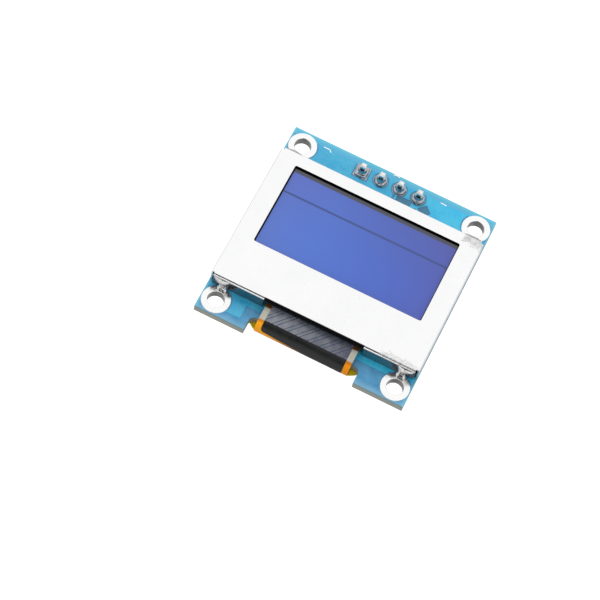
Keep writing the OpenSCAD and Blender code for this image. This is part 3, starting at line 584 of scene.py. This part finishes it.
def lump(x, y, z, size, seed):
    """Smooth noise from -1 to 1 with features of this size in millimetres."""
    return noise.noise(Vector((x / size, y / size, z / size + 17.3 * seed)))


def ease(start, end, share):
    """From one value to another in an S-shaped course."""
    return start + (end - start) * (1 - math.cos(math.pi * min(max(share, 0.0), 1.0))) / 2


def header_joint(i):
    """Soldered pin: pads on both faces, the plug between, and a lumpy mound that climbs the pin."""
    middle = centre(PINS[i])
    low, high = PADS[i]
    pad_r = (high.x - low.x) / 2
    back, face = BOARD[0].z, COPPER[1].z
    square = 1.0 if i == 0 else 0.0
    # Height, radius, how square and how lumpy each ring is, up from the back pad
    rows = [(low.z, 0.3, 0, 0), (low.z, pad_r, square, 0), (back, pad_r, square, 0), (back, PIN_HOLE_R, 0, 0),
            (0, PIN_HOLE_R, 0, 0), (0, pad_r, square, 0), (face, pad_r, square, 0)]
    foot_r = FOOT_SHARE * pad_r
    neck_r = CONE_TOP_R + NECK_SHARE * (foot_r - CONE_TOP_R)
    for k in range(9):
        a = math.pi / 16 * k
        rows.append((face + SHOULDER_H * math.sin(a) + 0.004, neck_r + (foot_r - neck_r) * math.cos(a),
                     0.6 * square * math.cos(a), 0.3 + 0.7 * math.sin(a)))
    rise = high.z - face - SHOULDER_H
    for k in range(1, 9):
        t = k / 8
        slope_r = CONE_TOP_R + (neck_r - CONE_TOP_R) * (1 - t) ** 2
        rows.append((face + SHOULDER_H + rise * t, slope_r, 0, 1 - t))
    rows.append((high.z + 0.01, 0.3, 0, 0))
    count = 48
    rings = []
    for z, r, squareness, lumps in rows:
        ring = []
        for k in range(count):
            c, s = math.cos(math.tau * k / count), math.sin(math.tau * k / count)
            reach = r * (1 + squareness * (1 / max(abs(c), abs(s)) - 1))
            reach *= 1 + lumps * (0.12 * lump(c, s, z, 0.6, i + 1) + 0.04 * lump(c, s, z, 0.25, i + 5))
            ring.append((middle.x + reach * c, middle.y + reach * s, z))
        rings.append(ring)
    add_piece(f"header_joint_{i + 1}", *loft(rings), "joint", "solder", f"header_solder_{i + 1}")


def corner_solder(i):
    """Solder drawn from a ring up the shield's wall: a foot on the ring, a waist and a leaning bulb."""
    low, high = CORNER_SOLDER[i]
    hole = centre(RINGS[i])
    out = 1 if hole.y > 0 else -1
    side = 1 if hole.x > 0 else -1
    wall = low.y if out > 0 else high.y
    reach = high.y - low.y
    levels, count = 26, 33
    rings = []
    for level in range(levels + 1):
        t = level / levels
        if t < WAIST_AT:
            half = ease(FOOT_W, WAIST_W, t / WAIST_AT) / 2
            deep = ease(reach, WAIST_REACH, t / WAIST_AT)
        else:
            half = ease(WAIST_W, BULB_W, (t - WAIST_AT) / (1 - WAIST_AT)) / 2
            deep = ease(WAIST_REACH, BULB_REACH, (t - WAIST_AT) / (BULB_AT - WAIST_AT))
            deep *= math.cos(math.radians(85) * max(0.0, (t - BULB_AT) / (1 - BULB_AT)))
        lean = side * ease(0, SOLDER_LEAN, (t - WAIST_AT) / (1 - WAIST_AT))
        z = low.z + t * (high.z - low.z)
        ring = []
        for k in range(count):
            a = math.pi * k / (count - 1)
            c, s = math.cos(a), math.sin(a)
            # A shallow cleft low down, where the solder parts round the hole
            fork = 1 - 0.2 * math.exp(-((c + 0.1) / 0.35) ** 2) * max(0.0, 1 - t / 0.25)
            swell = 1 + 0.14 * lump(c * half, s * deep, z, 0.55, i + 9) + 0.05 * lump(c, s, z, 0.22, i + 3)
            x = hole.x + lean + half * c * (1 + (swell - 1) * s)
            y = wall + out * deep * s * swell * fork
            ring.append((x, y, z))
        if out < 0:
            ring.reverse()
        rings.append(ring)
    add_piece(f"corner_solder_{i + 1}", *loft(rings), "blob", "solder", f"shield_solder_{i + 1}")


def strip(points, width, z):
    """Flat printed line through points in the board's plane, a hair thick."""
    corners, faces = [], []
    for k, point in enumerate(points):
        ahead = Vector(points[min(k + 1, len(points) - 1)]) - Vector(points[max(k - 1, 0)])
        across = Vector((-ahead.y, ahead.x)).normalized() * width / 2
        for way in (1, -1):
            corners.append((point[0] + way * across.x, point[1] + way * across.y, z))
    for k in range(len(points) - 1):
        faces.append((2 * k, 2 * k + 1, 2 * k + 3, 2 * k + 2))
    return corners, faces


def board_print():
    """Generic white marks: a broken line along the shield and a few short marks by the header."""
    z = COPPER[1].z + 0.006
    y = SHIELD[1].y + 0.07
    marks = []
    x = -9.0
    random = Random(7)
    while x < 8.6:
        length = random.uniform(0.22, 0.5)
        marks.append(([(x, y), (x + length, y + random.uniform(-0.03, 0.03))], 0.13))
        x += length + random.uniform(0.45, 0.95)
    top = BOARD[1].y
    arc = [(0.25 + 0.75 * math.cos(a), top - 0.62 + 0.5 * math.sin(a)) for a in (2.2, 1.8, 1.4, 1.0)]
    marks.append((arc, 0.14))
    marks.append(([(6.5, top - 0.9), (7.3, top - 0.95)], 0.12))
    marks.append(([(-9.4, top - 0.9), (-8.6, top - 0.9), (-8.3, top - 1.2)], 0.11))
    points, faces = [], []
    for path, width in marks:
        more, more_faces = strip(path, width, z)
        faces += [tuple(corner + len(points) for corner in face) for face in more_faces]
        points += more
    add_piece("board_print", points, faces, "print", "blue_board", smooth=False)


dress_nodes()
for number in range(4):
    header_joint(number)
    corner_solder(number)
board_print()


# ---------------------------------------------------------------- studio

# Room between the header's pins and the floor, and the floor's height
FLOOR_GAP = 40
FLOOR_Z = CAD_BOX[0].z / MM - FLOOR_GAP
# Glow that lifts the floor to white for the camera, and brightness of the world for diffuse light
FLOOR_LIFT = 0.5
DOME_LEVEL = 0.9
# Direction, distance and radius of the dark card, the last two in metres
DARK_SIDE = Vector((0.1, -0.5, 0.86))
CARD_FAR = 0.6
CARD_R = 0.34
# Azimuth, elevation and roll in degrees; where the camera aims, how far it stands off, and its lens
CAMERA_TURNS = (12.455, 63.447, 14.749)
CAMERA_AIM = Vector((-2.960, -7.147, 0))
CAMERA_FAR = 270.196
CAMERA_LENS = 136.756


def studio_floor():
    """Pale floor below the pins. The camera sees it lifted to white, with the object's shadow kept."""
    finish = Finish("floor", srgb(205, 205, 205), roughness=0.9, specular=0.1)
    path = finish.node("ShaderNodeLightPath")
    geometry = finish.node("ShaderNodeNewGeometry")
    lift = finish.node("ShaderNodeEmission")
    finish.put(lift.inputs["Strength"], finish.math("MULTIPLY", path.outputs["Is Camera Ray"], FLOOR_LIFT))
    lit = finish.node("ShaderNodeAddShader")
    finish.put(lit.inputs[0], finish.shader.outputs[0])
    finish.put(lit.inputs[1], lift.outputs[0])
    clear = finish.node("ShaderNodeBsdfTransparent")
    side = finish.node("ShaderNodeMixShader")
    finish.put(side.inputs[0], geometry.outputs["Backfacing"])
    finish.put(side.inputs[1], lit.outputs[0])
    finish.put(side.inputs[2], clear.outputs[0])
    finish.put(finish.tree.nodes["Material Output"].inputs["Surface"], side.outputs[0])
    mesh = bpy.data.meshes.new("floor")
    half, level = 3.0, FLOOR_Z * MM
    corners = [(-half, -half, level), (half, -half, level), (half, half, level), (-half, half, level)]
    mesh.from_pydata(corners, [], [(0, 1, 2, 3)])
    mesh.materials.append(finish.material)
    floor = bpy.data.objects.new("floor", mesh)
    bpy.context.scene.collection.objects.link(floor)


def studio_world():
    """White for the camera, for glossy and for transmission rays, and a white dome as the soft light."""
    world = bpy.data.worlds.new("studio")
    bpy.context.scene.world = world
    world.use_nodes = True
    nodes, links = world.node_tree.nodes, world.node_tree.links
    nodes.clear()
    path = nodes.new("ShaderNodeLightPath")
    seen = path.outputs["Is Camera Ray"]
    for ray in ("Is Glossy Ray", "Is Transmission Ray"):
        either = nodes.new("ShaderNodeMath")
        either.operation = "MAXIMUM"
        links.new(seen, either.inputs[0])
        links.new(path.outputs[ray], either.inputs[1])
        seen = either.outputs[0]
    shades = []
    for level in (DOME_LEVEL, 1.0):
        shade = nodes.new("ShaderNodeBackground")
        shade.inputs["Color"].default_value = (level, level, level, 1)
        shades.append(shade)
    mixed = nodes.new("ShaderNodeMixShader")
    links.new(seen, mixed.inputs[0])
    links.new(shades[0].outputs[0], mixed.inputs[1])
    links.new(shades[1].outputs[0], mixed.inputs[2])
    output = nodes.new("ShaderNodeOutputWorld")
    links.new(mixed.outputs[0], output.inputs["Surface"])


def dark_card():
    """Dark round card where a camera would stand. Only reflections see it: it gives solder contrast."""
    finish = Finish("dark_card", srgb(40, 40, 42), roughness=0.9, specular=0.0)
    mesh = bpy.data.meshes.new("dark_card")
    sides = 48
    turns = [math.tau * k / sides for k in range(sides)]
    rim = [(CARD_R * math.cos(turn), CARD_R * math.sin(turn), 0) for turn in turns]
    mesh.from_pydata(rim, [], [tuple(range(sides))])
    mesh.materials.append(finish.material)
    card = bpy.data.objects.new("dark_card", mesh)
    card.location = DARK_SIDE * CARD_FAR
    card.rotation_mode = "QUATERNION"
    card.rotation_quaternion = DARK_SIDE.to_track_quat("Z", "Y")
    card.visible_camera = False
    card.visible_diffuse = False
    card.visible_transmission = False
    card.visible_shadow = False
    bpy.context.scene.collection.objects.link(card)


def softbox(name, place, size, power):
    """Square area light that looks at the module's middle. Place is in metres."""
    data = bpy.data.lights.new(name, "AREA")
    data.size = size
    data.energy = power
    light = bpy.data.objects.new(name, data)
    light.location = place
    light.rotation_mode = "QUATERNION"
    light.rotation_quaternion = Vector(place).to_track_quat("Z", "Y")
    light.visible_glossy = False
    bpy.context.scene.collection.objects.link(light)


def camera():
    """Long lens from the front right and above, turned a little on its axis."""
    azimuth, elevation, roll = (math.radians(angle) for angle in CAMERA_TURNS)
    back = Vector((math.sin(azimuth) * math.cos(elevation), -math.cos(azimuth) * math.cos(elevation),
                   math.sin(elevation)))
    level = Vector((math.cos(azimuth), math.sin(azimuth), 0))
    right = math.cos(roll) * level + math.sin(roll) * back.cross(level)
    up = back.cross(right)
    data = bpy.data.cameras.new("camera")
    data.lens = CAMERA_LENS
    data.sensor_width = 36
    data.clip_start = 0.01
    shot = bpy.data.objects.new("camera", data)
    place = Matrix.Translation((CAMERA_AIM + back * CAMERA_FAR) * MM)
    shot.matrix_world = place @ Matrix((right, up, back)).transposed().to_4x4()
    bpy.context.scene.collection.objects.link(shot)
    bpy.context.scene.camera = shot


studio_floor()
studio_world()
dark_card()
softbox("key_light", (-0.25, 0.3, 0.5), 0.3, 1.3)
softbox("fill_light", (0.5, 0.1, 0.5), 0.6, 0.3)
camera()
bpy.context.scene.view_settings.view_transform = "Standard"
